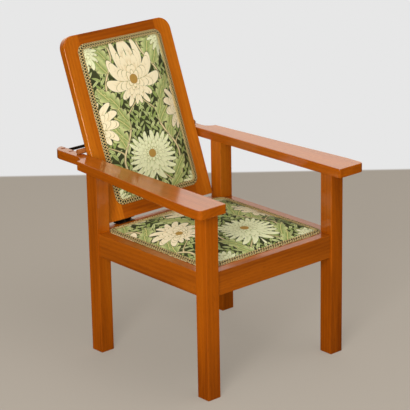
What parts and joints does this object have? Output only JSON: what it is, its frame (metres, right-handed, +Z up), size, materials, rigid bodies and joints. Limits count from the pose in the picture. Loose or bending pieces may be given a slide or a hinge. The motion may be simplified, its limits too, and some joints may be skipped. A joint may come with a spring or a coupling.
{
  "type": "reclining armchair",
  "caption": "Mission style wooden armchair with broad flat arms, an upholstered seat, and a hinged upholstered back that leans on a loose rod in notches of the arms.",
  "frame": {"origin": "on the floor under the middle of the chair's bounding box", "axes": "+Z up, the chair faces -Y, and left in a node's name means -X, the left seen from in front"},
  "size_m": [0.648, 0.7765, 0.9427],
  "materials": {
    "varnished_wood": "deep glossy varnish, straight grain",
    "rod_wood": "satin varnish",
    "plain_wood": "unfinished",
    "black_steel": "blackened, low sheen",
    "hinge_steel": "dark bronzed",
    "bright_steel": "plated",
    "webbing": "woven jute strap",
    "stuffing": "layered hair and cotton felt",
    "printed_cloth": "woven cotton and linen with a printed botanical pattern",
    "braid": "twisted gimp braid",
    "dark_cloth": "plain black cambric, tacked",
    "hessian": "coarse weave"
  },
  "bodies": {
    "frame": {"front_leg_left": "varnished_wood", "front_leg_right": "varnished_wood", "rear_leg_left": "varnished_wood", "rear_leg_right": "varnished_wood", "front_rail": "varnished_wood", "rear_rail": "varnished_wood", "side_rail_left": "varnished_wood", "side_rail_right": "varnished_wood", "arm_left": "varnished_wood", "arm_right": "varnished_wood", "arm_dowels": "plain_wood", "tie_rod": "black_steel", "corner_blocks": "plain_wood", "corner_block_screws": "bright_steel", "seat_webbing_across": "webbing", "seat_webbing_lengthwise": "webbing", "seat_base_cloth": "hessian", "seat_padding": "stuffing", "seat_cover": "printed_cloth", "seat_gimp": "braid", "seat_dust_cloth": "dark_cloth", "dust_cloth_tacks": "black_steel", "hinge_leaves_lower": "hinge_steel", "hinge_screws_lower": "bright_steel"},
    "hinge_pins": {"hinge_pins": "hinge_steel"},
    "back": {"back_stile_left": "varnished_wood", "back_stile_right": "varnished_wood", "back_top_rail": "varnished_wood", "back_bottom_rail": "varnished_wood", "back_webbing_across": "webbing", "back_webbing_upright": "webbing", "back_base_cloth": "hessian", "back_padding": "stuffing", "back_cover": "printed_cloth", "back_gimp": "braid", "back_rear_cloth": "printed_cloth", "back_rear_gimp": "braid", "hinge_leaves_upper": "hinge_steel", "hinge_screws_upper": "bright_steel"},
    "rod": {"support_rod": "rod_wood"}
  },
  "joints": [
    {"name": "back_recline", "type": "hinge", "parent": "frame", "child": "hinge_pins", "pos_m": [0, 0.19065, 0.389], "axis": [-1, 0, 0], "range_deg": [0, 16.33]},
    {"name": "back_fold", "type": "hinge", "parent": "hinge_pins", "child": "back", "pos_m": [0, 0.19065, 0.389], "axis": [-1, 0, 0], "range_deg": [-20.6, 0]},
    {"name": "rod_shift", "type": "slide", "parent": "hinge_pins", "child": "rod", "axis": [0, 0.3518, 0.9361], "range_m": [0, 0.0417]}
  ],
  "couplings": [
    {"joint": "rod_shift", "follows": "back_recline", "m_per_rad": 0.14632}
  ]
}
